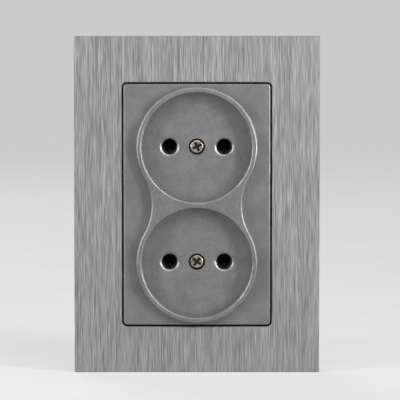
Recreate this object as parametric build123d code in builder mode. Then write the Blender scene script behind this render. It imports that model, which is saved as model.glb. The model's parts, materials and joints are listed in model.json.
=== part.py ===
from build123d import *
import os
from math import hypot

# Double flush socket for a round wall box, in millimetres.
# X runs to the right and Z up on the wall. Y runs into the wall, and the wall plane is Y = 0.
# A level is a distance in front of the wall plane, so what sinks into the wall box has a negative level.

# Front cover: two round wells inside one figure-eight collar
well_radius = 19.05
well_draft = 0.35
well_depth = 5.0
well_web = 2.1
well_lip_radius = 0.8
floor_thickness = 1.8
rim_width = 2.05
collar_height = 2.7
collar_waist = 31.6
collar_edge_radius = 0.7
collar_wall = 1.6
cover_side_margin = 4.4
cover_end_margin = 0.8
cover_corner = 1.2
cover_edge_radius = 0.45
cover_sink = 0.2
skirt_wall = 1.6
field_thickness = 1.8
pin_spacing = 19.0
pin_hole_diameter = 5.6
pin_hole_chamfer = 0.6

# Frame: a metal facing on a moulded carrier, which the cover clamps to the wall
frame_front = 10.0
frame_side_band = 16.5
frame_end_band = 16.0
cover_gap = 0.6
facing_thickness = 1.0
facing_bevel = 0.25
carrier_reveal = 0.4
carrier_corner = 0.8
carrier_wall = 1.8
carrier_web = 1.8
lining_wall = 1.4
ledge_level = 6.0
ledge_width = 1.2
ledge_thickness = 1.5
rib_thickness = 1.0
rib_level = 4.4
rib_pitch = 13.0
side_rib_count = 9
end_rib_count = 5

# Cover screws and the brass inserts that they turn into
cover_screw_diameter = 3.0
cover_screw_length = 12.0
cover_screw_head_diameter = 4.8
cover_screw_head_height = 2.0
cover_screw_sink = 0.3
screw_pocket_diameter = 5.8
screw_boss_wall = 1.6
screw_boss_gap = 0.3
insert_diameter = 4.6
insert_length = 7.0

# Contacts: a strip with two slit tulips on each side, a spring on each tulip
pin_length = 19.0
pin_relief = 1.0
pin_relief_diameter = 6.0
tulip_bore = 4.0
tulip_wall = 1.2
tulip_length = 10.0
tulip_sink = 2.6
tulip_slit = 0.8
tulip_slit_length = 7.6
tulip_mouth_chamfer = 0.4
strip_width = 7.6
strip_thickness = 0.8
spring_inset = 1.6
spring_width = 2.4
spring_groove = 0.2
spring_wall = 0.8
spring_gap = 2.4

# Base and retainer, the moulded block that holds the contacts
channel_gap = 0.3
boss_wall = 1.2
boss_rim = 1.5
shoulder_end = 1.6
base_back_wall = 1.8
base_edge_chamfer = 0.8
retainer_thickness = 1.6
retainer_gap = 0.3
retainer_hole_diameter = 6.0
retainer_screw_z = 8.0
retainer_screw_diameter = 2.0
retainer_screw_length = 8.0
retainer_screw_head_diameter = 3.8
retainer_screw_head_height = 1.0

# Support plate, with slots for the wall box's screws and lugs for the claws
plate_thickness = 1.0
plate_margin = 2.2
plate_corner_cut = 11.0
plate_lip = 1.6
box_screw_spacing = 60.0
box_slot_width = 4.2
box_slot_length = 6.6
plate_opening_gap = 0.2
plate_screw_z = 19.5
plate_screw_diameter = 2.0
plate_screw_length = 8.0
plate_screw_head_diameter = 3.6
plate_screw_head_height = 1.3

# Terminals: a screw in the strip's upright tab draws a saddle towards it
terminal_screw_diameter = 3.0
terminal_screw_length = 8.0
terminal_head_diameter = 5.2
terminal_head_height = 1.7
terminal_head_sink = 0.3
tab_width = 9.6
tab_rim = 0.2
saddle_thickness = 1.0
saddle_height = 6.4
saddle_width = 8.4
saddle_travel = 2.4
saddle_gap = 0.3
wire_port_diameter = 2.6
wire_port_spacing = 5.8
wire_port_funnel = 0.7

# Spreading claws on the two sides: sheet, pivot, flange with its slot, foot with its teeth
claw_z = 7.0
claw_thickness = 1.2
claw_leg_width = 2.0
claw_gap = 0.2
claw_pin_diameter = 1.5
claw_pin_head_diameter = 2.4
claw_pin_head_height = 0.5
claw_eye_radius = 1.7
claw_pivot_level = -2.4
claw_flange_drop = 5.0
claw_flange_reach = 7.6
claw_foot_drop = 12.2
claw_foot_reach = 6.0
claw_window_drop = 11.4
claw_tooth = 1.5
claw_tooth_count = 4
claw_slot_start = 2.85
claw_screw_offset = 4.7
claw_screw_diameter = 3.0
claw_screw_length = 13.4
claw_screw_head_diameter = 5.8
claw_screw_head_height = 2.2
claw_nut_width = 5.5
claw_nut_height = 2.4
claw_nut_dome = 6.0
claw_nut_gap = 0.05
lug_thickness = 1.0

# Clearances and small details shared by several pieces
running_gap = 0.05
guide_gap = 0.2
thread_gap = 0.05
fixed_gap = 0.02
hole_gap = 0.15
driver_slot_width = 0.9
driver_slot_depth = 0.9
edge_break = 0.25

# Shares of a screw's own sizes, and of a bent sheet's thickness
head_edge_share = 0.25
shank_tip_share = 0.17
cross_recess_share = 0.66
slot_recess_share = 1.1
sunk_recess_share = 0.7
bend_radius_share = 0.4

# Sizes that follow from the ones above
well_spacing = 2 * well_radius + well_web
well_z = well_spacing / 2
pin_x = pin_spacing / 2
collar_radius = well_radius + rim_width
cover_width = 2 * (collar_radius + cover_side_margin)
cover_height = well_spacing + 2 * (collar_radius + cover_end_margin)
opening_width = cover_width + 2 * cover_gap
opening_height = cover_height + 2 * cover_gap
opening_corner = cover_corner + cover_gap
frame_width = opening_width + 2 * frame_side_band
frame_height = opening_height + 2 * frame_end_band
field_level = frame_front - cover_sink
collar_level = field_level + collar_height
floor_level = collar_level - well_depth
floor_back = floor_level - floor_thickness
retainer_front = floor_back - retainer_gap
base_front = retainer_front - retainer_thickness
screw_seat_level = floor_level - cover_screw_sink - cover_screw_head_height
screw_boss_radius = screw_pocket_diameter / 2 + screw_boss_wall
channel_width = strip_width + 2 * channel_gap
boss_corner = channel_width / 2 + boss_wall
boss_width = pin_spacing + 2 * boss_corner
boss_height = well_spacing + 2 * boss_corner
tulip_front = base_front - tulip_sink
tulip_radius = tulip_bore / 2 + tulip_wall
strip_front = tulip_front - tulip_length
strip_back = strip_front - strip_thickness
relief_level = floor_level - pin_length - pin_relief
base_back = relief_level - base_back_wall
terminal_level = strip_front + saddle_height / 2
terminal_z = -claw_z
tab_outer = pin_x + strip_width / 2
saddle_x = tab_outer + saddle_gap + saddle_travel
terminal_seat_x = saddle_x + saddle_thickness + running_gap
base_width = 2 * (terminal_seat_x + terminal_head_height + terminal_head_sink)
base_height = boss_height + 2 * shoulder_end
base_radius = hypot(pin_x, well_z) + boss_corner + boss_rim
plate_size = box_screw_spacing + box_slot_length + 2 * plate_margin
plate_screw_x = (boss_width + base_width) / 4
claw_pivot_x = base_width / 2 + claw_gap + claw_eye_radius
claw_screw_x = claw_pivot_x + claw_screw_offset
claw_window = claw_nut_width + 2 * guide_gap
claw_width = claw_window + 2 * claw_leg_width
claw_flange_back = claw_pivot_level - claw_flange_drop - claw_thickness

os.makedirs("parts", exist_ok=True)


def level(height):
    """Sketch plane parallel to the wall and facing the room: local x is X and local y is Z."""
    return Plane.XZ.offset(height)


def save(piece, name):
    """Label a finished piece and write it to its own file."""
    piece.label = name
    export_step(piece, f"parts/{name}.step")


def save_pair(piece, name):
    """Write a right-hand piece and its left-hand twin, which is turned half round about the Y axis."""
    save(piece, f"{name}_right")
    save(piece.rotate(Axis.Y, 180), f"{name}_left")


def flat_screw(plane, head_diameter, head_height, diameter, length, cross=False):
    """Screw whose cylinder head stands on the plane, with its shank behind it and a driver recess in front."""
    with BuildPart() as screw:
        with BuildSketch(plane):
            Circle(head_diameter / 2)
        extrude(amount=head_height)
        along = Axis(plane.origin, plane.z_dir)
        fillet(screw.faces().sort_by(along)[-1].edges(), head_height * head_edge_share)
        with BuildSketch(plane):
            Circle(diameter / 2)
        extrude(amount=-length)
        chamfer(screw.faces().sort_by(along)[0].edges(), diameter * shank_tip_share)
        with BuildSketch(plane.offset(head_height)):
            Rectangle(head_diameter * (cross_recess_share if cross else slot_recess_share), driver_slot_width)
            if cross:
                Rectangle(driver_slot_width, head_diameter * cross_recess_share)
        extrude(amount=-driver_slot_depth, mode=Mode.SUBTRACT)
    return screw.part


def sunk_screw(plane, head_diameter, head_height, diameter, length):
    """Countersunk screw whose head is flush with the plane."""
    with BuildPart() as screw:
        with BuildSketch(plane):
            Circle(head_diameter / 2)
        with BuildSketch(plane.offset(-head_height)):
            Circle(diameter / 2)
        loft()
        with BuildSketch(plane.offset(-head_height)):
            Circle(diameter / 2)
        extrude(amount=head_height - length)
        along = Axis(plane.origin, plane.z_dir)
        chamfer(screw.faces().sort_by(along)[0].edges(), diameter * shank_tip_share)
        with BuildSketch(plane):
            Rectangle(head_diameter * cross_recess_share, driver_slot_width)
            Rectangle(driver_slot_width, head_diameter * cross_recess_share)
        extrude(amount=-head_height * sunk_recess_share, mode=Mode.SUBTRACT)
    return screw.part


def collar_face(shrink=0.0):
    """Figure-eight face: two circles joined by waist arcs that are tangent to both."""
    radius = collar_radius - shrink
    waist = collar_waist / 2 - shrink
    arc = (waist**2 + well_z**2 - radius**2) / (2 * (radius - waist))
    share = radius / hypot(waist + arc, well_z)
    touch_x = (waist + arc) * share
    touch_z = well_z - well_z * share
    with BuildSketch() as face:
        with BuildLine():
            ThreePointArc((-touch_x, touch_z), (0, well_z + radius), (touch_x, touch_z))
            ThreePointArc((touch_x, touch_z), (waist, 0), (touch_x, -touch_z))
            ThreePointArc((touch_x, -touch_z), (0, -well_z - radius), (-touch_x, -touch_z))
            ThreePointArc((-touch_x, -touch_z), (-waist, 0), (-touch_x, touch_z))
        make_face()
    return face.sketch


# Facing: a flat metal plate with a fine bevel round its outline and its opening
with BuildPart() as facing:
    with BuildSketch(level(frame_front - facing_thickness)):
        Rectangle(frame_width, frame_height)
        RectangleRounded(opening_width, opening_height, opening_corner, mode=Mode.SUBTRACT)
    extrude(amount=facing_thickness)
    chamfer(facing.faces().sort_by(Axis.Y)[0].edges(), facing_bevel)
save(facing.part, "facing_plate")

# Carrier: a ribbed tray, open at the back, with a lining round the opening and a ledge that the cover seats on
carrier_front = frame_front - facing_thickness
carrier_width = frame_width - 2 * carrier_reveal
carrier_height = frame_height - 2 * carrier_reveal
tray_width = carrier_width - 2 * carrier_wall
tray_height = carrier_height - 2 * carrier_wall
lining_width = opening_width + 2 * lining_wall
lining_height = opening_height + 2 * lining_wall
side_gutter = (tray_width - lining_width) / 2
end_gutter = (tray_height - lining_height) / 2
ledge_back = ledge_level - ledge_thickness
with BuildPart() as carrier:
    with BuildSketch(level(0)):
        RectangleRounded(carrier_width, carrier_height, carrier_corner)
    extrude(amount=carrier_front)
    with BuildSketch(level(0)):
        Rectangle(tray_width, tray_height)
    extrude(amount=carrier_front - carrier_web, mode=Mode.SUBTRACT)
    with BuildSketch(level(ledge_back)):
        RectangleRounded(lining_width, lining_height, opening_corner + lining_wall)
    extrude(amount=carrier_front - ledge_back)
    with BuildSketch(level(rib_level)):
        with GridLocations(lining_width + side_gutter, rib_pitch, 2, side_rib_count):
            Rectangle(side_gutter, rib_thickness)
        with GridLocations(rib_pitch, lining_height + end_gutter, end_rib_count, 2):
            Rectangle(rib_thickness, end_gutter)
    extrude(amount=carrier_front - rib_level)
    with BuildSketch(level(ledge_level)):
        RectangleRounded(opening_width, opening_height, opening_corner)
    extrude(amount=carrier_front - ledge_level, mode=Mode.SUBTRACT)
    with BuildSketch(level(0)):
        RectangleRounded(opening_width - 2 * ledge_width, opening_height - 2 * ledge_width, opening_corner)
    extrude(amount=ledge_level, mode=Mode.SUBTRACT)
save(carrier.part, "frame_carrier")

# Front cover: skirted moulding with the collar, the two drafted wells, the pin holes and the screw pockets
cup_radius = well_radius - well_draft + collar_wall / 2
with BuildPart() as cover:
    with BuildSketch(level(ledge_level)):
        RectangleRounded(cover_width, cover_height, cover_corner)
    extrude(amount=field_level - ledge_level)
    fillet(cover.faces().sort_by(Axis.Y)[0].edges(), cover_edge_radius)
    with BuildSketch(level(ledge_level)):
        Rectangle(cover_width - 2 * skirt_wall, cover_height - 2 * skirt_wall)
    extrude(amount=field_level - field_thickness - ledge_level, mode=Mode.SUBTRACT)
    with BuildSketch(level(ledge_level)):
        add(collar_face())
    extrude(amount=collar_level - ledge_level)
    fillet(cover.faces().sort_by(Axis.Y)[0].edges(), collar_edge_radius)
    with BuildSketch(level(floor_back)):
        with Locations((0, well_z), (0, -well_z)):
            Circle(cup_radius)
    extrude(amount=floor_thickness)
    for side in (well_z, -well_z):
        with BuildSketch(level(floor_level)):
            with Locations((0, side)):
                Circle(well_radius - well_draft)
        with BuildSketch(level(collar_level)):
            with Locations((0, side)):
                Circle(well_radius)
        loft(mode=Mode.SUBTRACT)
    rim = cover.faces().sort_by(Axis.Y)[0]
    fillet([edge for wire in rim.inner_wires() for edge in wire.edges()], well_lip_radius)
    with BuildSketch(level(base_front + screw_boss_gap)):
        with Locations((0, well_z), (0, -well_z)):
            Circle(screw_boss_radius)
    extrude(amount=floor_level - base_front - screw_boss_gap)
    with Locations(level(floor_level)):
        with Locations((0, well_z), (0, -well_z)):
            CounterBoreHole(
                cover_screw_diameter / 2 + hole_gap, screw_pocket_diameter / 2, floor_level - screw_seat_level
            )
        with GridLocations(pin_spacing, well_spacing, 2, 2):
            CounterSinkHole(pin_hole_diameter / 2, pin_hole_diameter / 2 + pin_hole_chamfer, counter_sink_angle=90)
    with BuildSketch(level(ledge_level)):
        add(collar_face(collar_wall))
        with Locations((0, well_z), (0, -well_z)):
            Circle(well_radius + collar_wall, mode=Mode.SUBTRACT)
    extrude(amount=collar_level - collar_wall - ledge_level, mode=Mode.SUBTRACT)
save(cover.part, "front_cover")

# Cover screws and inserts, one pair in the middle of each well
insert_depth = base_front - insert_length
for name, side in (("upper", well_z), ("lower", -well_z)):
    seat = Plane(origin=(0, -screw_seat_level, side), x_dir=(1, 0, 0), z_dir=(0, -1, 0))
    save(
        flat_screw(
            seat,
            cover_screw_head_diameter,
            cover_screw_head_height,
            cover_screw_diameter,
            cover_screw_length,
            cross=True,
        ),
        f"cover_screw_{name}",
    )
    with BuildPart() as insert:
        with BuildSketch(level(insert_depth)):
            with Locations((0, side)):
                Circle(insert_diameter / 2)
                Circle(cover_screw_diameter / 2 + thread_gap, mode=Mode.SUBTRACT)
        extrude(amount=insert_length)
    save(insert.part, f"cover_insert_{name}")

# Base: a boss that passes through the support plate, on a wider block behind it
channel_depth = base_front - strip_back
pilot_level = screw_seat_level - cover_screw_length - running_gap
with BuildPart() as base:
    with BuildSketch(level(base_back)):
        Circle(base_radius)
        Rectangle(base_width, base_height, mode=Mode.INTERSECT)
    extrude(amount=-base_back)
    chamfer(base.faces().sort_by(Axis.Y)[-1].edges(), base_edge_chamfer)
    with BuildSketch(level(0)):
        RectangleRounded(boss_width, boss_height, boss_corner)
    extrude(amount=base_front)
    with BuildSketch(level(base_front)):
        with Locations((pin_x, 0), (-pin_x, 0)):
            SlotCenterToCenter(well_spacing, channel_width, rotation=90)
    extrude(amount=-channel_depth, mode=Mode.SUBTRACT)
    with BuildSketch(level(relief_level)):
        with GridLocations(pin_spacing, well_spacing, 2, 2):
            Circle(pin_relief_diameter / 2)
    extrude(amount=strip_back - relief_level, mode=Mode.SUBTRACT)
    with BuildSketch(level(insert_depth)):
        with Locations((0, well_z), (0, -well_z)):
            Circle(insert_diameter / 2 + fixed_gap)
    extrude(amount=insert_length, mode=Mode.SUBTRACT)
    with BuildSketch(level(pilot_level)):
        with Locations((0, well_z), (0, -well_z)):
            Circle(cover_screw_diameter / 2 + hole_gap)
    extrude(amount=insert_depth - pilot_level, mode=Mode.SUBTRACT)
    with BuildSketch(level(base_front)):
        with Locations((0, retainer_screw_z), (0, -retainer_screw_z)):
            Circle(retainer_screw_diameter / 2 + thread_gap)
    extrude(amount=retainer_thickness - retainer_screw_length - running_gap, mode=Mode.SUBTRACT)
    with BuildSketch(level(0)):
        with GridLocations(2 * plate_screw_x, 2 * plate_screw_z, 2, 2):
            Circle(plate_screw_diameter / 2 + thread_gap)
    extrude(amount=plate_thickness - plate_screw_length - running_gap, mode=Mode.SUBTRACT)
    for turn in (1, -1):
        with BuildSketch(level(terminal_level - saddle_height / 2 - saddle_gap)):
            with Locations((turn * (pin_x + base_width / 2) / 2, turn * terminal_z)):
                Rectangle(base_width / 2 - pin_x, saddle_width + 2 * saddle_gap)
        extrude(amount=saddle_height + 2 * saddle_gap, mode=Mode.SUBTRACT)
        with Locations(Plane(origin=(0, -base_back, 0), x_dir=(1, 0, 0), z_dir=(0, 1, 0))):
            with Locations((turn * (tab_outer + saddle_x) / 2, -turn * terminal_z)):
                with GridLocations(1, wire_port_spacing, 1, 2):
                    CounterSinkHole(
                        wire_port_diameter / 2,
                        wire_port_diameter / 2 + wire_port_funnel,
                        terminal_level - base_back,
                        counter_sink_angle=90,
                    )
save(base.part, "base_housing")

# Retainer: a plate on the boss that keeps the contacts in, open round the cover's screw bosses
with BuildPart() as retainer:
    with BuildSketch(level(base_front)):
        RectangleRounded(boss_width, boss_height, boss_corner)
        with GridLocations(pin_spacing, well_spacing, 2, 2):
            Circle(retainer_hole_diameter / 2, mode=Mode.SUBTRACT)
        with Locations((0, well_z), (0, -well_z)):
            Circle(screw_boss_radius + screw_boss_gap, mode=Mode.SUBTRACT)
    extrude(amount=retainer_thickness)
    with Locations(level(retainer_front)):
        with Locations((0, retainer_screw_z), (0, -retainer_screw_z)):
            CounterSinkHole(
                retainer_screw_diameter / 2 + thread_gap, retainer_screw_head_diameter / 2 + thread_gap, retainer_thickness
            )
save(retainer.part, "contact_retainer")

# Retainer screws, flush with the retainer
for name, side in (("upper", retainer_screw_z), ("lower", -retainer_screw_z)):
    seat = Plane(origin=(0, -retainer_front, side), x_dir=(1, 0, 0), z_dir=(0, -1, 0))
    save(
        sunk_screw(
            seat,
            retainer_screw_head_diameter,
            retainer_screw_head_height,
            retainer_screw_diameter,
            retainer_screw_length,
        ),
        f"retainer_screw_{name}",
    )

# Support plate: stamped sheet with stiffened edges, box-screw slots, and lugs bent out of a window beside each claw
lug_back = claw_pivot_level - claw_eye_radius
lug_inner = claw_width / 2 + guide_gap
window_height = 2 * lug_inner
with BuildPart() as plate:
    with BuildSketch(level(0)) as plate_outline:
        Rectangle(plate_size, plate_size)
        chamfer(plate_outline.vertices(), plate_corner_cut)
    extrude(amount=plate_thickness + plate_lip)
    with BuildSketch(level(plate_thickness)) as plate_field:
        Rectangle(plate_size - 2 * plate_thickness, plate_size - 2 * plate_thickness)
        chamfer(plate_field.vertices(), plate_corner_cut)
    extrude(amount=plate_lip, mode=Mode.SUBTRACT)
    with BuildSketch(level(0)):
        RectangleRounded(
            boss_width + 2 * plate_opening_gap, boss_height + 2 * plate_opening_gap, boss_corner + plate_opening_gap
        )
        with GridLocations(box_screw_spacing, 0, 2, 1):
            SlotOverall(box_slot_length, box_slot_width)
        with GridLocations(0, box_screw_spacing, 1, 2):
            SlotOverall(box_slot_length, box_slot_width, rotation=90)
        with GridLocations(2 * plate_screw_x, 2 * plate_screw_z, 2, 2):
            Circle(plate_screw_diameter / 2 + hole_gap)
        with Locations((claw_screw_x, claw_z), (-claw_screw_x, -claw_z)):
            Circle(claw_screw_diameter / 2 + hole_gap)
        with Locations((claw_pivot_x, claw_z), (-claw_pivot_x, -claw_z)):
            Rectangle(2 * claw_eye_radius, window_height)
    extrude(amount=plate_thickness, mode=Mode.SUBTRACT)
    for turn in (1, -1):
        for end in (1, -1):
            lug_z = turn * claw_z + end * (lug_inner + lug_thickness / 2)
            with BuildSketch(Plane.XY.offset(lug_z - lug_thickness / 2)):
                with Locations((turn * claw_pivot_x, -claw_pivot_level)):
                    Circle(claw_eye_radius)
                with Locations((turn * claw_pivot_x, -(plate_thickness + claw_pivot_level) / 2)):
                    Rectangle(2 * claw_eye_radius, plate_thickness - claw_pivot_level)
                with Locations((turn * claw_pivot_x, -claw_pivot_level)):
                    Circle(claw_pin_diameter / 2 + fixed_gap, mode=Mode.SUBTRACT)
            extrude(amount=lug_thickness)
save(plate.part, "support_plate")

# Plate screws, which hold the plate on the base's shoulder
for name, x, z in (
    ("upper_left", -plate_screw_x, plate_screw_z),
    ("upper_right", plate_screw_x, plate_screw_z),
    ("lower_left", -plate_screw_x, -plate_screw_z),
    ("lower_right", plate_screw_x, -plate_screw_z),
):
    seat = Plane(origin=(x, -plate_thickness, z), x_dir=(1, 0, 0), z_dir=(0, -1, 0))
    save(
        flat_screw(
            seat, plate_screw_head_diameter, plate_screw_head_height, plate_screw_diameter, plate_screw_length, cross=True
        ),
        f"plate_screw_{name}",
    )

# Contact strip: a flat web, a slit tulip at each end for a pin, and the terminal's upright tab
groove_back = tulip_front - spring_inset - spring_width
tab_height = strip_thickness + saddle_height + tab_rim
with BuildPart() as strip:
    with BuildSketch(level(strip_back)):
        with Locations((pin_x, 0)):
            SlotCenterToCenter(well_spacing, strip_width, rotation=90)
    extrude(amount=strip_thickness)
    with BuildSketch(level(strip_front)):
        with Locations((pin_x, well_z), (pin_x, -well_z)):
            Circle(tulip_radius)
    extrude(amount=tulip_length)
    with BuildSketch(level(strip_back)):
        with Locations((pin_x, well_z), (pin_x, -well_z)):
            Circle(tulip_bore / 2)
    extrude(amount=strip_thickness + tulip_length, mode=Mode.SUBTRACT)
    mouths = strip.faces().sort_by(Axis.Y)[:2]
    chamfer([edge for face in mouths for wire in face.inner_wires() for edge in wire.edges()], tulip_mouth_chamfer)
    with BuildSketch(level(groove_back)):
        with Locations((pin_x, well_z), (pin_x, -well_z)):
            Circle(tulip_radius)
            Circle(tulip_radius - spring_groove, mode=Mode.SUBTRACT)
    extrude(amount=spring_width, mode=Mode.SUBTRACT)
    with BuildSketch(level(tulip_front)):
        with Locations((pin_x, well_z), (pin_x, -well_z)):
            Rectangle(tulip_slit, 2 * tulip_radius + tulip_slit)
    extrude(amount=-tulip_slit_length, mode=Mode.SUBTRACT)
    with BuildSketch(level(strip_back)):
        with Locations((tab_outer - strip_thickness / 2, terminal_z)):
            Rectangle(strip_thickness, tab_width)
    extrude(amount=tab_height)
    with BuildSketch(Plane.YZ.offset(tab_outer - strip_thickness)):
        with Locations((-terminal_level, terminal_z)):
            Circle(terminal_screw_diameter / 2 + thread_gap)
    extrude(amount=strip_thickness, mode=Mode.SUBTRACT)
save_pair(strip.part, "contact_strip")

# Contact springs: a C-shaped clip in the groove round each tulip, open towards the middle of the socket
for name, side in (("upper", 1), ("lower", -1)):
    spring_inner = tulip_radius - spring_groove + fixed_gap
    with BuildPart() as spring:
        with BuildSketch(level(groove_back)):
            with Locations((pin_x, side * well_z)):
                Circle(spring_inner + spring_wall)
                Circle(spring_inner, mode=Mode.SUBTRACT)
            with Locations((pin_x - spring_inner, side * well_z)):
                Rectangle(2 * spring_inner - strip_thickness, spring_gap, mode=Mode.SUBTRACT)
        extrude(amount=spring_width)
    save_pair(spring.part, f"contact_spring_{name}")

# Terminal: the saddle in its open position and the screw whose head presses on it
with BuildPart() as saddle:
    with BuildSketch(Plane.YZ.offset(saddle_x)):
        with Locations((-terminal_level, terminal_z)):
            Rectangle(saddle_height, saddle_width)
            Circle(terminal_screw_diameter / 2 + hole_gap, mode=Mode.SUBTRACT)
    extrude(amount=saddle_thickness)
    fillet(saddle.edges().filter_by(Axis.X), edge_break)
save_pair(saddle.part, "terminal_saddle")
terminal_seat = Plane(origin=(terminal_seat_x, -terminal_level, terminal_z), x_dir=(0, 1, 0), z_dir=(1, 0, 0))
save_pair(
    flat_screw(
        terminal_seat, terminal_head_diameter, terminal_head_height, terminal_screw_diameter, terminal_screw_length
    ),
    "terminal_screw",
)

# Claw: bent sheet with an eye on the pivot, a slotted flange for the screw, a window for the nut and a toothed foot
foot_level = claw_pivot_level - claw_foot_drop
foot_end = claw_pivot_x + claw_foot_reach
flange_level = claw_pivot_level - claw_flange_drop
web_inner = claw_pivot_x - claw_thickness / 2
web_outer = claw_pivot_x + claw_thickness / 2


def bar(x_from, x_to, level_from, level_to):
    """Rectangle in a plan sketch between two places across and two levels."""
    with Locations(((x_from + x_to) / 2, -(level_from + level_to) / 2)):
        Rectangle(x_to - x_from, abs(level_from - level_to))


with BuildPart() as claw:
    with BuildSketch(Plane.XY.offset(claw_z - claw_width / 2)):
        with Locations((claw_pivot_x, -claw_pivot_level)):
            Circle(claw_eye_radius)
        bar(web_inner, web_outer, claw_pivot_level, foot_level - claw_thickness)
        bar(web_inner, claw_pivot_x + claw_flange_reach, flange_level, flange_level - claw_thickness)
        bar(web_inner, foot_end, foot_level, foot_level - claw_thickness)
        with Locations((claw_pivot_x, -claw_pivot_level)):
            Circle(claw_pin_diameter / 2 + running_gap, mode=Mode.SUBTRACT)
    extrude(amount=claw_width)
    fillet(claw.edges().filter_by(Axis.Z).sort_by(Axis.Y)[-2:], claw_thickness * bend_radius_share)
    with BuildSketch(level(flange_level)):
        with Locations((claw_pivot_x + (claw_slot_start + claw_screw_offset) / 2, claw_z)):
            SlotCenterToCenter(claw_screw_offset - claw_slot_start, claw_screw_diameter + 2 * guide_gap)
    extrude(amount=-claw_thickness, mode=Mode.SUBTRACT)
    with BuildSketch(Plane.YZ.offset(web_inner)):
        window_back = -claw_pivot_level + claw_window_drop
        with Locations(((window_back - claw_flange_back) / 2, claw_z)):
            Rectangle(window_back + claw_flange_back, claw_window)
    extrude(amount=claw_thickness, mode=Mode.SUBTRACT)
    with BuildSketch(level(foot_level)):
        with Locations((foot_end, claw_z)):
            with GridLocations(0, claw_width / claw_tooth_count, 1, claw_tooth_count + 1):
                Rectangle(claw_tooth, claw_tooth, rotation=45)
    extrude(amount=-claw_thickness, mode=Mode.SUBTRACT)
save_pair(claw.part, "claw")

# Claw pin: riveted in the plate's two lugs, with a head outside each
pin_half = lug_inner + lug_thickness
with BuildPart() as claw_pin:
    with BuildSketch(Plane.XY.offset(claw_z - pin_half - claw_pin_head_height)):
        with Locations((claw_pivot_x, -claw_pivot_level)):
            Circle(claw_pin_head_diameter / 2)
    extrude(amount=claw_pin_head_height)
    with BuildSketch(Plane.XY.offset(claw_z - pin_half)):
        with Locations((claw_pivot_x, -claw_pivot_level)):
            Circle(claw_pin_diameter / 2)
    extrude(amount=2 * pin_half)
    with BuildSketch(Plane.XY.offset(claw_z + pin_half)):
        with Locations((claw_pivot_x, -claw_pivot_level)):
            Circle(claw_pin_head_diameter / 2)
    extrude(amount=claw_pin_head_height)
save_pair(claw_pin.part, "claw_pin")

# Claw screw, whose head turns on the plate, and the domed nut that pushes on the claw's flange
claw_seat = Plane(
    origin=(claw_screw_x, -plate_thickness - running_gap, claw_z), x_dir=(1, 0, 0), z_dir=(0, -1, 0)
)
save_pair(
    flat_screw(
        claw_seat, claw_screw_head_diameter, claw_screw_head_height, claw_screw_diameter, claw_screw_length, cross=True
    ),
    "claw_screw",
)
nut_front = claw_flange_back - claw_nut_gap
with BuildPart() as nut:
    with BuildSketch(level(nut_front)):
        with Locations((claw_screw_x, claw_z)):
            Rectangle(claw_nut_width, claw_nut_width)
    extrude(amount=-claw_nut_height)
    with Locations((claw_screw_x, claw_nut_dome - nut_front, claw_z)):
        Sphere(claw_nut_dome, mode=Mode.INTERSECT)
    with BuildSketch(level(nut_front)):
        with Locations((claw_screw_x, claw_z)):
            Circle(claw_screw_diameter / 2 + thread_gap)
    extrude(amount=-claw_nut_height, mode=Mode.SUBTRACT)
save_pair(nut.part, "claw_nut")
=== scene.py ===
import json
from math import cos, pi, radians, sin

import bpy
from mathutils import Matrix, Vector


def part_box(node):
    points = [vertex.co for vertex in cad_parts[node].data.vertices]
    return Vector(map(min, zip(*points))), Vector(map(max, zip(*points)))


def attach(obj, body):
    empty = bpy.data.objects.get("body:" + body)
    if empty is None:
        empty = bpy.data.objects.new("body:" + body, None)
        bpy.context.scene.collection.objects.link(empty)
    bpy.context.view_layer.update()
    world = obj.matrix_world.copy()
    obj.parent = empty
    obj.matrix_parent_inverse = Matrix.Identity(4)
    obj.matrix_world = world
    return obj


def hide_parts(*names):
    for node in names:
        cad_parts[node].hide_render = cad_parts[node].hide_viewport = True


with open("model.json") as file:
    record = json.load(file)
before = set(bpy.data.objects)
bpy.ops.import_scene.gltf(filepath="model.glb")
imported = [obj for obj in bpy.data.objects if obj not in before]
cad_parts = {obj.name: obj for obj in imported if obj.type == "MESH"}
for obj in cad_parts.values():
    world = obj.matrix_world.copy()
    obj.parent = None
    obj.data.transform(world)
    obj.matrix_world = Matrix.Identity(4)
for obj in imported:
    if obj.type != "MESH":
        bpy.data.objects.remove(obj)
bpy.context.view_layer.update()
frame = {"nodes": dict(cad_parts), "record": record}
nodes = frame["nodes"]
MM = 0.001


def linear(code):
    """An sRGB hex colour as a linear RGBA colour."""
    channels = [int(code[i : i + 2], 16) / 255 for i in (1, 3, 5)]
    return [c / 12.92 if c <= 0.04045 else ((c + 0.055) / 1.055) ** 2.4 for c in channels] + [1.0]


def add(tree, kind, inputs=(), **settings):
    """Add a node with its settings and its inputs, which are named or in order.

    An input is a number, a colour, an output to link from, or a node whose first output is linked.
    """
    made = tree.nodes.new(kind)
    for name, value in settings.items():
        setattr(made, name, value)
    for name, value in inputs.items() if isinstance(inputs, dict) else enumerate(inputs):
        if isinstance(value, bpy.types.Node):
            value = value.outputs[0]
        if isinstance(value, bpy.types.NodeSocket):
            tree.links.new(value, made.inputs[name])
        else:
            made.inputs[name].default_value = value
    return made


def new_material(name):
    """A material with its shader, its tree, and the place on the object in millimetres."""
    material = bpy.data.materials.new(name)
    material.use_nodes = True
    tree = material.node_tree
    shader = tree.nodes["Principled BSDF"]
    place = add(tree, "ShaderNodeTexCoord").outputs["Object"]
    in_mm = add(tree, "ShaderNodeVectorMath", [place, (1 / MM,) * 3], operation="MULTIPLY")
    return material, tree, shader, in_mm.outputs[0]


def grain(tree, place, size, detail=3.0, roughness=0.55):
    """Noise whose features have the given size in millimetres along X, Y and Z."""
    scaled = add(tree, "ShaderNodeVectorMath", [place, [1 / s for s in size]], operation="MULTIPLY")
    noise = add(
        tree,
        "ShaderNodeTexNoise",
        {"Vector": scaled.outputs[0], "Scale": 1.0, "Detail": detail, "Roughness": roughness},
    )
    return noise.outputs["Fac"]


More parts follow.
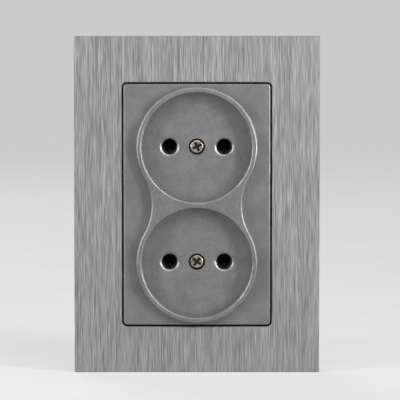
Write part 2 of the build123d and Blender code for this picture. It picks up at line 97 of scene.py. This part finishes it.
def ramp(tree, factor, stops):
    """Colours along a factor, as pairs of place and sRGB hex."""
    made = add(tree, "ShaderNodeValToRGB", {"Fac": factor})
    elements = made.color_ramp.elements
    while len(elements) < len(stops):
        elements.new(0.5)
    for element, (place, code) in zip(elements, stops):
        element.position = place
        element.color = linear(code)
    return made.outputs["Color"]


def spread(tree, factor, low, high):
    """A factor's middle range stretched between two values."""
    made = add(
        tree,
        "ShaderNodeMapRange",
        {"Value": factor, "From Min": 0.3, "From Max": 0.7, "To Min": low, "To Max": high},
    )
    return made.outputs["Result"]


def shown(tree, plain, pale):
    """One value for the light that falls on the object, another for what the camera and reflections see."""
    path = add(tree, "ShaderNodeLightPath").outputs
    either = add(tree, "ShaderNodeMath", [path["Is Camera Ray"], path["Is Glossy Ray"]], operation="ADD")
    seen = add(tree, "ShaderNodeMath", [either, path["Is Transmission Ray"]], operation="ADD")
    made = add(tree, "ShaderNodeMapRange", {"Value": seen, "To Min": plain, "To Max": pale})
    return made.outputs["Result"]


def relief(tree, shader, height, depth, slope=None):
    """Bump of the given depth in millimetres on a shader, over the surface's own slope or a given one."""
    bump = add(tree, "ShaderNodeBump", {"Height": height, "Distance": depth * MM, "Strength": 1.0})
    if slope is not None:
        tree.links.new(slope, bump.inputs["Normal"])
    tree.links.new(bump.outputs["Normal"], shader.inputs["Normal"])


def mean(tree, *factors):
    """The mean of several factors."""
    total = factors[0]
    for factor in factors[1:]:
        total = add(tree, "ShaderNodeMath", [total, factor], operation="ADD")
    return add(tree, "ShaderNodeMath", [total, 1 / len(factors)], operation="MULTIPLY")


def brushed_aluminium():
    """Aluminium sheet brushed along Z and lacquered: a satin grey with short upright streaks.

    Real brush lines are about 0.05 mm wide. They are drawn three to four times coarser, to show at arm's
    length.
    """
    material, tree, shader, place = new_material("brushed aluminium sheet")
    fine = grain(tree, place, (0.17, 0.17, 8), detail=1)
    middle = grain(tree, place, (0.24, 0.24, 22), detail=1)
    broad = grain(tree, place, (0.8, 0.8, 60), detail=3)
    streak = mean(tree, fine, fine, fine, middle, broad)
    colour = ramp(tree, streak, ((0.41, "#757575"), (0.5, "#8c8c8c"), (0.59, "#a4a4a4")))
    tree.links.new(colour, shader.inputs["Base Color"])
    tree.links.new(spread(tree, middle, 0.34, 0.46), shader.inputs["Roughness"])
    shader.inputs["Metallic"].default_value = 0.7
    relief(tree, shader, streak, 0.012)
    return material


def metallic_paint():
    """ABS painted grey with metal flake: an even satin grey, black where the spray didn't reach, and that
    black is also painted shade deep in the pin holes and screw pockets.

    Real flake is about 0.03 mm wide and is drawn coarser, to show as a fine speckle. The chamfers of the pin
    holes are shaded as if they were flatter than they are, so that they catch the lamps as bright crescents.
    """
    material, tree, shader, place = new_material("metallic grey paint on ABS")
    flake = grain(tree, place, (0.28, 0.28, 0.28), detail=2)
    cloud = grain(tree, place, (7, 7, 7), detail=2)
    speckle = mean(tree, flake, flake, cloud)
    paint = ramp(tree, speckle, ((0.34, "#5a5a5a"), (0.5, "#6b6b6b"), (0.66, "#7d7d7d")))
    # The spray fades out between these two places along Y, inside the pin holes and the screw pockets, where
    # the bare black plastic also stands as painted shade
    painted_to, bare_from = -6.9, -6.5
    depth = add(tree, "ShaderNodeSeparateXYZ", [place]).outputs["Y"]
    fade = {"Value": depth, "From Min": painted_to, "From Max": bare_from}
    bare_and_shaded = add(tree, "ShaderNodeMapRange", fade).outputs["Result"]
    coat = add(tree, "ShaderNodeMix", {"Factor": bare_and_shaded, "A": paint, "B": linear("#17171a")}, data_type="RGBA")
    tree.links.new(coat.outputs["Result"], shader.inputs["Base Color"])
    shine = add(tree, "ShaderNodeMapRange", {"Value": bare_and_shaded, "To Min": 0.45, "To Max": 0.0}).outputs["Result"]
    tree.links.new(shine, shader.inputs["Metallic"])
    tree.links.new(spread(tree, flake, 0.3, 0.4), shader.inputs["Roughness"])
    shader.inputs["Coat Weight"].default_value = 0.4
    shader.inputs["Coat Roughness"].default_value = 0.2
    # The lip is the ring round each of the four pin holes, which are alike in the four quarters
    pin_hole = (9.5, 0, 20.1)
    lip_radius, lip_half_width = 3.1, 0.29
    own_slope_in_lip = 0.6
    quarter = add(tree, "ShaderNodeVectorMath", [place], operation="ABSOLUTE").outputs[0]
    aside = add(tree, "ShaderNodeVectorMath", [quarter, pin_hole], operation="SUBTRACT").outputs[0]
    level = add(tree, "ShaderNodeVectorMath", [aside, (1, 0, 1)], operation="MULTIPLY").outputs[0]
    from_pin = add(tree, "ShaderNodeVectorMath", [level], operation="LENGTH").outputs["Value"]
    lip = add(tree, "ShaderNodeMath", [from_pin, lip_radius, lip_half_width], operation="COMPARE")
    own = add(tree, "ShaderNodeMapRange", {"Value": lip, "To Min": 1.0, "To Max": own_slope_in_lip})
    steep = add(tree, "ShaderNodeNewGeometry").outputs["Normal"]
    both = {"Factor": own.outputs["Result"], "A": (0, -1, 0), "B": steep}
    slope = add(tree, "ShaderNodeMix", both, data_type="VECTOR")
    relief(tree, shader, mean(tree, flake, cloud), 0.006, slope.outputs["Result"])
    return material


def moulded_plastic(name, dark, light, texture):
    """Moulded plastic with the fine spark-eroded texture of its mould, its grain given in millimetres."""
    material, tree, shader, place = new_material(name)
    pits = grain(tree, place, (texture,) * 3, detail=2)
    flow = grain(tree, place, (9, 9, 14), detail=2)
    colour = ramp(tree, mean(tree, pits, flow), ((0.35, dark), (0.65, light)))
    tree.links.new(colour, shader.inputs["Base Color"])
    tree.links.new(spread(tree, flow, 0.42, 0.56), shader.inputs["Roughness"])
    shader.inputs["Specular IOR Level"].default_value = 0.35
    relief(tree, shader, pits, 0.02)
    return material


def plated_metal(name, dark, light, rolled, rough, front=None):
    """Plated or rolled metal: soft lines along the way it was rolled and a cloudy plating over them.

    A screw whose head has its front at a given Y in millimetres gets painted shade in the driver recess
    behind it, which would hardly show in this soft light otherwise.
    """
    material, tree, shader, place = new_material(name)
    lines = grain(tree, place, rolled, detail=3)
    cloud = grain(tree, place, (3.5, 3.5, 3.5), detail=3)
    colour = ramp(tree, mean(tree, lines, cloud), ((0.35, dark), (0.65, light)))
    if front is not None:
        # Painted shade: the recess is drawn darker from these depths behind the head's front
        bright_to, dark_from = front + 0.4, front + 0.8
        depth = add(tree, "ShaderNodeSeparateXYZ", [place]).outputs["Y"]
        fade = {"Value": depth, "From Min": bright_to, "From Max": dark_from}
        inside = add(tree, "ShaderNodeMapRange", fade).outputs["Result"]
        painted_recess_shade = linear("#3a3631")
        both = add(tree, "ShaderNodeMix", {"Factor": inside, "A": colour, "B": painted_recess_shade}, data_type="RGBA")
        colour = both.outputs["Result"]
    tree.links.new(colour, shader.inputs["Base Color"])
    tree.links.new(spread(tree, cloud, rough - 0.06, rough + 0.08), shader.inputs["Roughness"])
    shader.inputs["Metallic"].default_value = 1.0
    relief(tree, shader, lines, 0.008)
    return material


cover_screw_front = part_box("cover_screw_upper")[0].y / MM
# Turned steel has the same grain along X, Y and Z
even = (0.5, 0.5, 0.5)
# To the eye: a satin brushed frame, a speckled grey cover, dull black mouldings, bright zinc on the plate
# and its screws, warmer nickel on the screws in the wells and on the terminals, yellow brass only inside
finishes = {
    "facing": brushed_aluminium(),
    "cover": metallic_paint(),
    "carrier": moulded_plastic("black ABS", "#1c1c1e", "#262629", 0.3),
    "base": moulded_plastic("black phenolic moulding", "#1d1d1f", "#29292b", 0.45),
    "retainer": moulded_plastic("black polyamide", "#131315", "#1d1d1f", 0.35),
    "plate": plated_metal("zinc plated steel sheet", "#a5a8a8", "#c6c9c9", (0.3, 0.3, 12), 0.34),
    "claw": plated_metal("zinc plated spring steel", "#a0a29d", "#c4c5be", (6, 0.3, 0.3), 0.36),
    "cover_screw": plated_metal("nickel plated steel", "#837c72", "#c6beb1", even, 0.2, cover_screw_front),
    "insert": plated_metal("turned brass", "#b8935a", "#d6b274", (6, 0.2, 6), 0.3),
    "small_screw": plated_metal("zinc plated screw steel", "#a8aaab", "#cdd0d1", even, 0.3),
    "claw_screw": plated_metal("zinc plated claw screw steel", "#a8aaab", "#cdd0d1", even, 0.3),
    "terminal_screw": plated_metal("nickel plated terminal screw steel", "#aaa69c", "#d3cfc4", even, 0.28),
    "strip": plated_metal("nickel plated bronze strip", "#5d5a54", "#77736b", (0.3, 0.3, 9), 0.34),
    "spring": plated_metal("blued spring steel", "#6c6f74", "#8b8e93", (0.3, 4, 0.3), 0.3),
    "saddle": plated_metal("nickel plated brass", "#a9a392", "#cfc8b5", (0.3, 5, 0.3), 0.3),
}
slots = {part["node"]: part["material_slot"] for part in frame["record"]["subparts"]}
body_of = {node: body for body, members in frame["record"]["behaviour"]["bodies"].items() for node in members}
for name, cad_node in nodes.items():
    cad_node.data.materials.clear()
    cad_node.data.materials.append(finishes[slots[name]])


def broken_line(tree, *places):
    """A mesh line through places that may depend on the tree's inputs."""
    line = add(tree, "GeometryNodeMeshLine", {"Count": len(places)})
    chosen = add(tree, "GeometryNodeIndexSwitch", data_type="VECTOR")
    while len(chosen.index_switch_items) < len(places):
        chosen.index_switch_items.new()
    tree.links.new(add(tree, "GeometryNodeInputIndex").outputs[0], chosen.inputs["Index"])
    for item, place in enumerate(places):
        tree.links.new(place.outputs[0], chosen.inputs[item + 1])
    return add(tree, "GeometryNodeSetPosition", {"Geometry": line, "Position": chosen.outputs["Output"]})


def wrapped_grid(tree, columns, rows):
    """A grid to bend round Z: its mesh, the angle of each point and the number of its row."""
    size = {"Size X": 1.0, "Size Y": 1.0, "Vertices X": columns + 1, "Vertices Y": rows}
    grid = add(tree, "GeometryNodeMeshGrid", size)
    spot = add(tree, "ShaderNodeSeparateXYZ", [add(tree, "GeometryNodeInputPosition")]).outputs
    across = add(tree, "ShaderNodeMath", [spot["X"], 0.5], operation="ADD")
    angle = add(tree, "ShaderNodeMath", [across, 2 * pi], operation="MULTIPLY")
    up = add(tree, "ShaderNodeMath", [spot["Y"], 0.5], operation="ADD")
    last_row = add(tree, "ShaderNodeMath", [rows, 1], operation="SUBTRACT")
    along = add(tree, "ShaderNodeMath", [up, last_row], operation="MULTIPLY")
    return grid, angle, add(tree, "ShaderNodeMath", [along], operation="ROUND")


def bent_round(tree, grid, place, angle):
    """A grid whose points are put at a place in the XZ plane and then turned about Z."""
    turned = add(tree, "ShaderNodeVectorRotate", {"Vector": place, "Angle": angle}, rotation_type="Z_AXIS")
    return add(tree, "GeometryNodeSetPosition", {"Geometry": grid, "Position": turned})


def lathe(tree, section, columns):
    """A section drawn in the XZ plane and turned round Z."""
    size = add(tree, "GeometryNodeAttributeDomainSize", {"Geometry": section}, component="MESH")
    grid, angle, row = wrapped_grid(tree, columns, size.outputs["Point Count"])
    at_row = {"Geometry": section, "Index": row}
    sample = add(tree, "GeometryNodeSampleIndex", at_row, data_type="FLOAT_VECTOR")
    tree.links.new(add(tree, "GeometryNodeInputPosition").outputs[0], sample.inputs["Value"])
    return bent_round(tree, grid, sample.outputs["Value"], angle)


def rolled_thread(tree, columns, core, depth, pitch, length):
    """A thread below Z = 0 whose rows follow its helix, four to a turn, run out to the core at both ends."""
    rows_a_turn = 4
    pitches = add(tree, "ShaderNodeMath", [length, pitch], operation="DIVIDE")
    whole = add(tree, "ShaderNodeMath", [pitches], operation="CEIL")
    turns = add(tree, "ShaderNodeMath", [whole, 1], operation="ADD")
    steps = add(tree, "ShaderNodeMath", [turns, rows_a_turn], operation="MULTIPLY")
    rows = add(tree, "ShaderNodeMath", [steps, 1], operation="ADD")
    grid, angle, row = wrapped_grid(tree, columns, rows)

    # Each row is a quarter of a pitch under the one before it, and each climbs one pitch on its way round
    turn = add(tree, "ShaderNodeMath", [angle, 2 * pi], operation="DIVIDE")
    lower = add(tree, "ShaderNodeMath", [row, rows_a_turn], operation="DIVIDE")
    climb = add(tree, "ShaderNodeMath", [turn, lower], operation="SUBTRACT")
    free = add(tree, "ShaderNodeMath", [climb, pitch], operation="MULTIPLY")
    under_seat = add(tree, "ShaderNodeMath", [free, 0.0], operation="MINIMUM")
    bottom = add(tree, "ShaderNodeMath", [length, -1], operation="MULTIPLY")
    height = add(tree, "ShaderNodeMath", [under_seat, bottom], operation="MAXIMUM")

    # Two rows in four are on the crest, which is lower within a pitch of either end
    step = add(tree, "ShaderNodeMath", [row, rows_a_turn], operation="MODULO")
    on_crest = add(tree, "ShaderNodeMath", [step, (rows_a_turn - 1) / 2, 1.0], operation="COMPARE")
    from_seat = add(tree, "ShaderNodeMath", [height, -1], operation="MULTIPLY")
    from_bottom = add(tree, "ShaderNodeMath", [height, length], operation="ADD")
    to_end = add(tree, "ShaderNodeMath", [from_seat, from_bottom], operation="MINIMUM")
    in_pitches = add(tree, "ShaderNodeMath", [to_end, pitch], operation="DIVIDE")
    run_out = add(tree, "ShaderNodeMath", [in_pitches, 1.0], operation="MINIMUM")
    share = add(tree, "ShaderNodeMath", [on_crest, run_out], operation="MULTIPLY")
    rise = add(tree, "ShaderNodeMath", [share, depth], operation="MULTIPLY")
    radius = add(tree, "ShaderNodeMath", [core, rise], operation="ADD")
    return bent_round(tree, grid, add(tree, "ShaderNodeCombineXYZ", {"X": radius, "Z": height}), angle)


def recess_arm(tree, reach, width, depth, top, turn):
    """One tapered bar of a driver recess, cut into a head from its top."""
    above = 0.2 * MM
    share_at_bottom, more_at_top = 0.6, 0.45
    size = add(tree, "ShaderNodeCombineXYZ", [reach, width, 1.0])
    block = add(tree, "GeometryNodeMeshCube", {"Size": size})
    spot = add(tree, "ShaderNodeSeparateXYZ", [add(tree, "GeometryNodeInputPosition")]).outputs
    upper = add(tree, "ShaderNodeMath", [spot["Z"], 0.0], operation="GREATER_THAN")
    more = add(tree, "ShaderNodeMath", [upper, more_at_top], operation="MULTIPLY")
    share = add(tree, "ShaderNodeMath", [more, share_at_bottom], operation="ADD")
    tall = add(tree, "ShaderNodeMath", [depth, above], operation="ADD")
    rise = add(tree, "ShaderNodeMath", [upper, tall], operation="MULTIPLY")
    bottom = add(tree, "ShaderNodeMath", [top, depth], operation="SUBTRACT")
    level = add(tree, "ShaderNodeMath", [rise, bottom], operation="ADD")
    along = add(tree, "ShaderNodeMath", [spot["X"], share], operation="MULTIPLY")
    across = add(tree, "ShaderNodeMath", [spot["Y"], share], operation="MULTIPLY")
    return bent_round(tree, block, add(tree, "ShaderNodeCombineXYZ", [along, across, level]), turn)


def new_tree(name, sizes):
    """A Geometry Nodes tree with named inputs for its points, its sizes in metres and its material."""
    tree = bpy.data.node_groups.new(name, "GeometryNodeTree")
    tree.interface.new_socket("Geometry", in_out="OUTPUT", socket_type="NodeSocketGeometry")
    tree.interface.new_socket("Geometry", in_out="INPUT", socket_type="NodeSocketGeometry")
    for size in sizes:
        tree.interface.new_socket(size, in_out="INPUT", socket_type="NodeSocketFloat")
    tree.interface.new_socket("Axis", in_out="INPUT", socket_type="NodeSocketVector")
    tree.interface.new_socket("Finish", in_out="INPUT", socket_type="NodeSocketMaterial")
    return tree, add(tree, "NodeGroupInput").outputs


screw_sizes = (
    "Head Diameter",
    "Head Height",
    "Rim Height",
    "Dome",
    "Edge Radius",
    "Thread Diameter",
    "Thread Depth",
    "Thread Pitch",
    "Length",
    "Recess Reach",
    "Recess Width",
    "Recess Depth",
    "Recess Turn",
    "Second Arm Share",
)


def screw_tree():
    """Turned screws on points, with the head's seat at Z = 0.

    The head and its driver recess are above the seat and the rolled thread is below it.
    """
    tree, given = new_tree("turned and rolled screw", screw_sizes)
    columns = 40
    head_radius = add(tree, "ShaderNodeMath", [given["Head Diameter"], 0.5], operation="MULTIPLY")
    thread_radius = add(tree, "ShaderNodeMath", [given["Thread Diameter"], 0.5], operation="MULTIPLY")
    core = add(tree, "ShaderNodeMath", [thread_radius, given["Thread Depth"]], operation="SUBTRACT")

    # The head: its front's middle, the rim's two corners and the core, with the front corner rounded
    rim_foot = add(tree, "ShaderNodeMath", [given["Head Height"], given["Rim Height"]], operation="SUBTRACT")
    corners = broken_line(
        tree,
        add(tree, "ShaderNodeCombineXYZ", {"Z": given["Head Height"]}),
        add(tree, "ShaderNodeCombineXYZ", {"X": head_radius, "Z": given["Head Height"]}),
        add(tree, "ShaderNodeCombineXYZ", {"X": head_radius, "Z": rim_foot}),
        add(tree, "ShaderNodeCombineXYZ", {"X": core}),
    )
    curve = add(tree, "GeometryNodeMeshToCurve", {"Mesh": corners})
    corner = add(tree, "GeometryNodeInputIndex")
    front_corner = add(tree, "ShaderNodeMath", [corner, 1, 0.1], operation="COMPARE")
    radius = add(tree, "ShaderNodeMath", [front_corner, given["Edge Radius"]], operation="MULTIPLY")
    rounding = {"Curve": curve, "Radius": radius, "Count": 5, "Limit Radius": True}
    rounded = add(tree, "GeometryNodeFilletCurve", rounding, mode="POLY")
    finer = add(tree, "GeometryNodeSubdivideCurve", {"Curve": rounded, "Cuts": 2})
    section = add(tree, "GeometryNodeCurveToMesh", {"Curve": finer})

    # The dome falls with the square of the way out, and less towards the seat
    spot = add(tree, "ShaderNodeSeparateXYZ", [add(tree, "GeometryNodeInputPosition")]).outputs
    way_out = add(tree, "ShaderNodeMath", [spot["X"], head_radius], operation="DIVIDE")
    outwards = add(tree, "ShaderNodeMath", [way_out, 2], operation="POWER")
    upwards = add(tree, "ShaderNodeMath", [spot["Z"], given["Head Height"]], operation="DIVIDE")
    share = add(tree, "ShaderNodeMath", [outwards, upwards], operation="MULTIPLY")
    fall = add(tree, "ShaderNodeMath", [share, given["Dome"]], operation="MULTIPLY")
    lowered = add(tree, "ShaderNodeMath", [spot["Z"], fall], operation="SUBTRACT")
    place = add(tree, "ShaderNodeCombineXYZ", {"X": spot["X"], "Z": lowered})
    domed = add(tree, "GeometryNodeSetPosition", {"Geometry": section, "Position": place})

    # The screw ends in a 45 degree chamfer, twice as long as the thread is deep
    tip = add(tree, "ShaderNodeMath", [given["Thread Depth"], 2], operation="MULTIPLY")
    threaded = add(tree, "ShaderNodeMath", [given["Length"], tip], operation="SUBTRACT")
    thread_end = add(tree, "ShaderNodeMath", [threaded, -1], operation="MULTIPLY")
    lowest = add(tree, "ShaderNodeMath", [given["Length"], -1], operation="MULTIPLY")
    tip_radius = add(tree, "ShaderNodeMath", [core, tip], operation="SUBTRACT")
    end = broken_line(
        tree,
        add(tree, "ShaderNodeCombineXYZ", {"X": core, "Z": thread_end}),
        add(tree, "ShaderNodeCombineXYZ", {"X": tip_radius, "Z": lowest}),
        add(tree, "ShaderNodeCombineXYZ", {"Z": lowest}),
    )

    shell = add(tree, "GeometryNodeJoinGeometry")
    thread = rolled_thread(tree, columns, core, given["Thread Depth"], given["Thread Pitch"], threaded)
    for part in (lathe(tree, domed, columns), thread, lathe(tree, end, columns)):
        tree.links.new(part.outputs[0], shell.inputs["Geometry"])
    seam = 0.001 * MM
    closed = add(tree, "GeometryNodeMergeByDistance", {"Geometry": shell, "Distance": seam})
    recessed = add(
        tree, "GeometryNodeMeshBoolean", {"Mesh 1": closed}, operation="DIFFERENCE", solver="EXACT"
    )
    reach, share = given["Recess Reach"], given["Second Arm Share"]
    second_reach = add(tree, "ShaderNodeMath", [reach, share], operation="MULTIPLY")
    for arm_reach, quarter in ((reach, 0.0), (second_reach, pi / 2)):
        turn = add(tree, "ShaderNodeMath", [given["Recess Turn"], quarter], operation="ADD")
        width, depth, top = given["Recess Width"], given["Recess Depth"], given["Head Height"]
        arm = recess_arm(tree, arm_reach, width, depth, top, turn)
        tree.links.new(arm.outputs[0], recessed.inputs["Mesh 2"])

    bend = add(tree, "GeometryNodeInputMeshEdgeAngle").outputs["Unsigned Angle"]
    sharp = add(tree, "ShaderNodeMath", [bend, radians(30)], operation="GREATER_THAN")
    gentle = add(tree, "ShaderNodeMath", [1.0, sharp], operation="SUBTRACT")
    shape = recessed
    for domain, smooth in (("FACE", True), ("EDGE", gentle)):
        shading = {"Geometry": shape, "Shade Smooth": smooth}
        shape = add(tree, "GeometryNodeSetShadeSmooth", shading, domain=domain)
    aim = add(tree, "FunctionNodeAlignRotationToVector", {"Vector": given["Axis"]}, axis="Z")
    placing = {"Points": given["Geometry"], "Instance": shape, "Rotation": aim}
    real = add(tree, "GeometryNodeRealizeInstances", [add(tree, "GeometryNodeInstanceOnPoints", placing)])
    done = add(tree, "GeometryNodeSetMaterial", {"Geometry": real, "Material": given["Finish"]})
    add(tree, "NodeGroupOutput", {"Geometry": done})
    return tree


def grown(title, tree, places, values, stands_for):
    """A plain mesh of what a tree makes on some places, riding where the CAD nodes it stands for ride."""
    mesh = bpy.data.meshes.new(title)
    mesh.from_pydata(places, [], [])
    piece = bpy.data.objects.new(title, mesh)
    bpy.context.scene.collection.objects.link(piece)
    modifier = piece.modifiers.new(title, "NODES")
    modifier.node_group = tree
    for item in tree.interface.items_tree:
        if item.in_out == "INPUT" and item.name in values:
            modifier[item.identifier] = values[item.name]
    evaluated = piece.evaluated_get(bpy.context.evaluated_depsgraph_get())
    made = bpy.data.meshes.new_from_object(evaluated)
    piece.modifiers.clear()
    piece.data = made
    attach(piece, body_of[stands_for[0]])
    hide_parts(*stands_for)


screws = screw_tree()


def screw_set(title, stands_for, axis, head_height, **sizes):
    """Screws of one kind where their CAD nodes are: sizes in millimetres, the head towards the axis."""
    towards = Vector(axis)
    places = []
    for node in stands_for:
        lowest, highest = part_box(node)
        middle = (lowest + highest) / 2
        top = middle + towards * (abs((highest - lowest).dot(towards)) / 2)
        places.append(top - towards * head_height * MM)
    values = {"Head Height": head_height * MM, "Axis": axis, "Finish": finishes[slots[stands_for[0]]]}
    for size, value in sizes.items():
        if size == "recess_turn":
            value = radians(value)
        elif size != "second_arm_share":
            value = value * MM
        values[size.replace("_", " ").title()] = value
    grown(title, screws, places, values, stands_for)


cover_screw = {
    "head_height": 2.0,
    "head_diameter": 4.8,
    "rim_height": 2.0,
    "dome": 0.3,
    "edge_radius": 0.5,
    "thread_diameter": 3.0,
    "thread_depth": 0.3,
    "thread_pitch": 0.5,
    "length": 12.0,
    "recess_reach": 3.7,
    "recess_width": 0.95,
    "recess_depth": 1.1,
    "second_arm_share": 1.0,
}
room = (0, -1, 0)
screw_set("upper_cover_screw", ["cover_screw_upper"], room, recess_turn=24, **cover_screw)
screw_set("lower_cover_screw", ["cover_screw_lower"], room, recess_turn=52, **cover_screw)
plate_screws = [name for name in nodes if name.startswith("plate_screw")]
screw_set(
    "plate_screws",
    plate_screws,
    room,
    head_height=1.3,
    head_diameter=3.6,
    rim_height=1.3,
    dome=0.2,
    edge_radius=0.3,
    thread_diameter=2.0,
    thread_depth=0.25,
    thread_pitch=0.7,
    length=8.0,
    recess_reach=2.4,
    recess_width=0.55,
    recess_depth=0.9,
    recess_turn=35,
    second_arm_share=1.0,
)
retainer_screws = [name for name in nodes if name.startswith("retainer_screw")]
screw_set(
    "retainer_screws",
    retainer_screws,
    room,
    head_height=1.0,
    head_diameter=3.8,
    rim_height=0.1,
    dome=0.0,
    edge_radius=0.04,
    thread_diameter=2.0,
    thread_depth=0.25,
    thread_pitch=0.7,
    length=7.0,
    recess_reach=2.4,
    recess_width=0.55,
    recess_depth=0.9,
    recess_turn=10,
    second_arm_share=1.0,
)
for side, out in (("right", 1), ("left", -1)):
    screw_set(
        f"claw_screw_{side}_turned",
        [f"claw_screw_{side}"],
        room,
        head_height=2.2,
        head_diameter=5.8,
        rim_height=2.2,
        dome=0.35,
        edge_radius=0.5,
        thread_diameter=3.0,
        thread_depth=0.3,
        thread_pitch=0.5,
        length=13.4,
        recess_reach=3.6,
        recess_width=0.8,
        recess_depth=1.5,
        recess_turn=15,
        second_arm_share=1.0,
    )
    screw_set(
        f"terminal_screw_{side}_turned",
        [f"terminal_screw_{side}"],
        (out, 0, 0),
        head_height=1.7,
        head_diameter=5.2,
        rim_height=1.7,
        dome=0.2,
        edge_radius=0.35,
        thread_diameter=3.0,
        thread_depth=0.3,
        thread_pitch=0.5,
        length=8.0,
        recess_reach=6.2,
        recess_width=0.9,
        recess_depth=0.9,
        recess_turn=20,
        second_arm_share=0.05,
    )


def softbox(name, place, aim, width, height, power, spread_degrees):
    """A soft rectangular lamp at a place, turned towards a point, with a grid that narrows its light."""
    lamp = bpy.data.lights.new(name, "AREA")
    lamp.shape = "RECTANGLE"
    lamp.size = width
    lamp.size_y = height
    lamp.energy = power
    lamp.spread = radians(spread_degrees)
    made = bpy.data.objects.new(name, lamp)
    made.location = place
    made.rotation_mode = "QUATERNION"
    made.rotation_quaternion = (Vector(aim) - Vector(place)).to_track_quat("-Z", "Y")
    bpy.context.scene.collection.objects.link(made)


# Camera: a little above the middle, at the photograph's scale and framing
low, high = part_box("facing_plate")
picture_px = 400
px_per_mm = 2.88
centre_px = (196.9, 204.9)
camera_distance = 1.2
camera_height = radians(5)
camera_data = bpy.data.cameras.new("camera")
camera_data.sensor_width = 36
camera_data.lens = camera_data.sensor_width * camera_distance / (picture_px / px_per_mm * MM)
camera = bpy.data.objects.new("camera", camera_data)
aim = Vector(
    (
        (low.x + high.x) / 2 + (picture_px / 2 - centre_px[0]) / px_per_mm * MM,
        low.y,
        (low.z + high.z) / 2 + (centre_px[1] - picture_px / 2) / px_per_mm * MM,
    )
)
camera.location = aim + Vector((0, -cos(camera_height), sin(camera_height))) * camera_distance
camera.rotation_euler = (pi / 2 - camera_height, 0, 0)
camera_data.clip_end = 20
bpy.context.scene.collection.objects.link(camera)
bpy.context.scene.camera = camera

# Floor: plain and pale, level with the frame's lower edge
floor_mesh = bpy.data.meshes.new("floor")
reach = 9.0
corners = ((-reach, -reach), (reach, -reach), (reach, reach), (-reach, reach))
floor_mesh.from_pydata([(x, y, low.z) for x, y in corners], [], [(0, 1, 2, 3)])
floor = bpy.data.objects.new("floor", floor_mesh)
bpy.context.scene.collection.objects.link(floor)
floor_material, floor_tree, floor_shader, floor_place = new_material("pale paper floor")
paper = grain(floor_tree, floor_place, (30, 30, 30))
pale = ramp(floor_tree, paper, ((0.35, "#848483"), (0.65, "#888887")))
floor_tree.links.new(pale, floor_shader.inputs["Base Color"])
floor_shader.inputs["Emission Color"].default_value = linear("#ffffff")
floor_tree.links.new(shown(floor_tree, 0.0, 0.52), floor_shader.inputs["Emission Strength"])
floor_shader.inputs["Roughness"].default_value = 0.8
floor_shader.inputs["Specular IOR Level"].default_value = 0.1
floor_mesh.materials.append(floor_material)

# Places and sizes in metres, power in watts, spread in degrees
softbox("tall lamp on the right", (0.3, -0.24, 0.22), (0, 0, 0.22), 0.07, 0.52, 1.35, 110)
softbox("tall lamp on the left", (-0.3, -0.22, 0.22), (0, 0, 0.22), 0.06, 0.52, 0.85, 110)
softbox("wide lamp above", (0.12, -0.5, 0.5), (0, 0, 0.08), 0.7, 0.3, 0.95, 110)
softbox("soft lamp behind the object", (-0.4, 0.8, 0.5), (0, 0, 0), 0.6, 0.5, 1.8, 120)
world = bpy.data.worlds.new("studio")
world.use_nodes = True
sky = world.node_tree
sky.nodes["Background"].inputs["Color"].default_value = linear("#f2f2f2")
sky.links.new(shown(sky, 0.22, 0.6), sky.nodes["Background"].inputs["Strength"])
bpy.context.scene.world = world
bpy.context.scene.view_settings.view_transform = "Standard"
